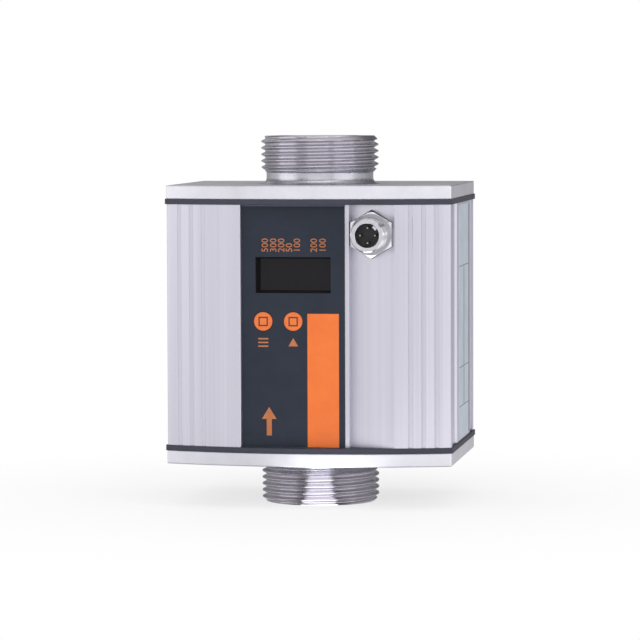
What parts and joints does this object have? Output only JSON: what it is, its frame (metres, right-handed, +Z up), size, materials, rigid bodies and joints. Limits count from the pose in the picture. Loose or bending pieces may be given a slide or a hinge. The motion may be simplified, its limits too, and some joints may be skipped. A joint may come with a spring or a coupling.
{
  "type": "ultrasonic flow meter",
  "caption": "In-line ultrasonic flow meter: threaded steel pipe through an aluminium housing with a bowed grooved front, recessed display, push buttons and a round socket.",
  "frame": {"origin": "centre of the lower pipe end", "axes": "+Z up along the pipe, front with the display towards -Y, +X to the right"},
  "size_m": [0.1018, 0.0894, 0.1304],
  "materials": {
    "housing_aluminium": "extruded and clear anodised",
    "pipe_steel": "turned stainless steel",
    "fastener_steel": "stainless steel",
    "gasket_rubber": "moulded dark rubber",
    "seal_rubber": "black rubber",
    "label_film": "printed film, dark slate",
    "plate_film": "pale grey film",
    "bezel_plastic": "moulded dark plastic",
    "window_pane": "dark clear plastic",
    "display_plastic": "moulded black plastic",
    "led_lens": "clear red plastic",
    "button_plastic": "moulded orange plastic",
    "board_laminate": "green glass-fibre board",
    "chip_plastic": "moulded black plastic",
    "lead_insulation": "grey cable insulation",
    "socket_nickel": "nickel-plated brass",
    "brass": "bare brass",
    "pin_gold": "gold-plated brass"
  },
  "bodies": {
    "meter_body": {"housing": "housing_aluminium", "top_end_cap": "housing_aluminium", "bottom_end_cap": "housing_aluminium", "measuring_pipe": "pipe_steel", "upper_reflector": "pipe_steel", "lower_reflector": "pipe_steel", "top_cap_screws": "fastener_steel", "bottom_cap_screws": "fastener_steel", "upper_transducer": "fastener_steel", "lower_transducer": "fastener_steel", "upper_transducer_clamp": "fastener_steel", "lower_transducer_clamp": "fastener_steel", "transducer_clamp_screws": "fastener_steel", "temperature_probe": "fastener_steel", "measuring_board_screws": "fastener_steel", "display_board_screws": "fastener_steel", "top_gasket": "gasket_rubber", "bottom_gasket": "gasket_rubber", "upper_pipe_seal": "seal_rubber", "lower_pipe_seal": "seal_rubber", "transducer_seals": "seal_rubber", "temperature_seal": "seal_rubber", "connector_seal": "seal_rubber", "front_label": "label_film", "side_label": "plate_film", "display_bezel": "bezel_plastic", "display_window": "window_pane", "display_module": "display_plastic", "indicator_leds": "led_lens", "measuring_board": "board_laminate", "display_board": "board_laminate", "measuring_chips": "chip_plastic", "mode_switch": "chip_plastic", "set_switch": "chip_plastic", "ribbon_headers": "chip_plastic", "cable_header": "chip_plastic", "connector_insert": "chip_plastic", "ribbon_cable": "lead_insulation", "transducer_leads": "lead_insulation", "temperature_lead": "lead_insulation", "connector_cable": "lead_insulation", "connector_shell": "socket_nickel", "connector_nut": "brass", "measuring_board_standoffs": "brass", "display_board_standoffs": "brass", "connector_pins": "pin_gold"},
    "mode_key": {"mode_button": "button_plastic", "mode_switch_plunger": "chip_plastic"},
    "set_key": {"set_button": "button_plastic", "set_switch_plunger": "chip_plastic"}
  },
  "joints": [
    {"name": "mode_press", "type": "slide", "parent": "meter_body", "child": "mode_key", "axis": [0, 1, 0], "range_m": [0, 0.0005], "stiffness_N_per_m": 2000},
    {"name": "set_press", "type": "slide", "parent": "meter_body", "child": "set_key", "axis": [0, 1, 0], "range_m": [0, 0.0005], "stiffness_N_per_m": 2000}
  ]
}
